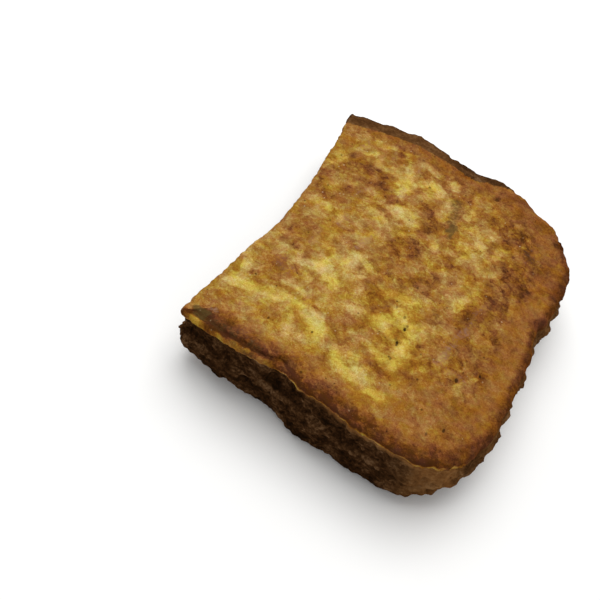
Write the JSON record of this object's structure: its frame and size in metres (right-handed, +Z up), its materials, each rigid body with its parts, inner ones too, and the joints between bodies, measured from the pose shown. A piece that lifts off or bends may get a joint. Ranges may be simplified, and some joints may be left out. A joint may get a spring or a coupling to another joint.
{
  "type": "french toast slice",
  "caption": "Thick slice of pan bread, egg-dipped and griddled, with a mottled golden face, a thin egg lip and dark crust walls.",
  "frame": {"origin": "centre of the bounding box at the underside, on the surface that the slice lies on", "axes": "+X from the loaf's base to its crown, +Y across the loaf from the front wall to the back wall, +Z up through the thickness"},
  "size_m": [0.0928, 0.115, 0.0258],
  "materials": {
    "browned_egg_crust": "browned egg coat on bread, mottled golden yellow and brown, slightly oily"
  },
  "bodies": {
    "root": {"french_toast_slice": "browned_egg_crust"}
  },
  "joints": []
}
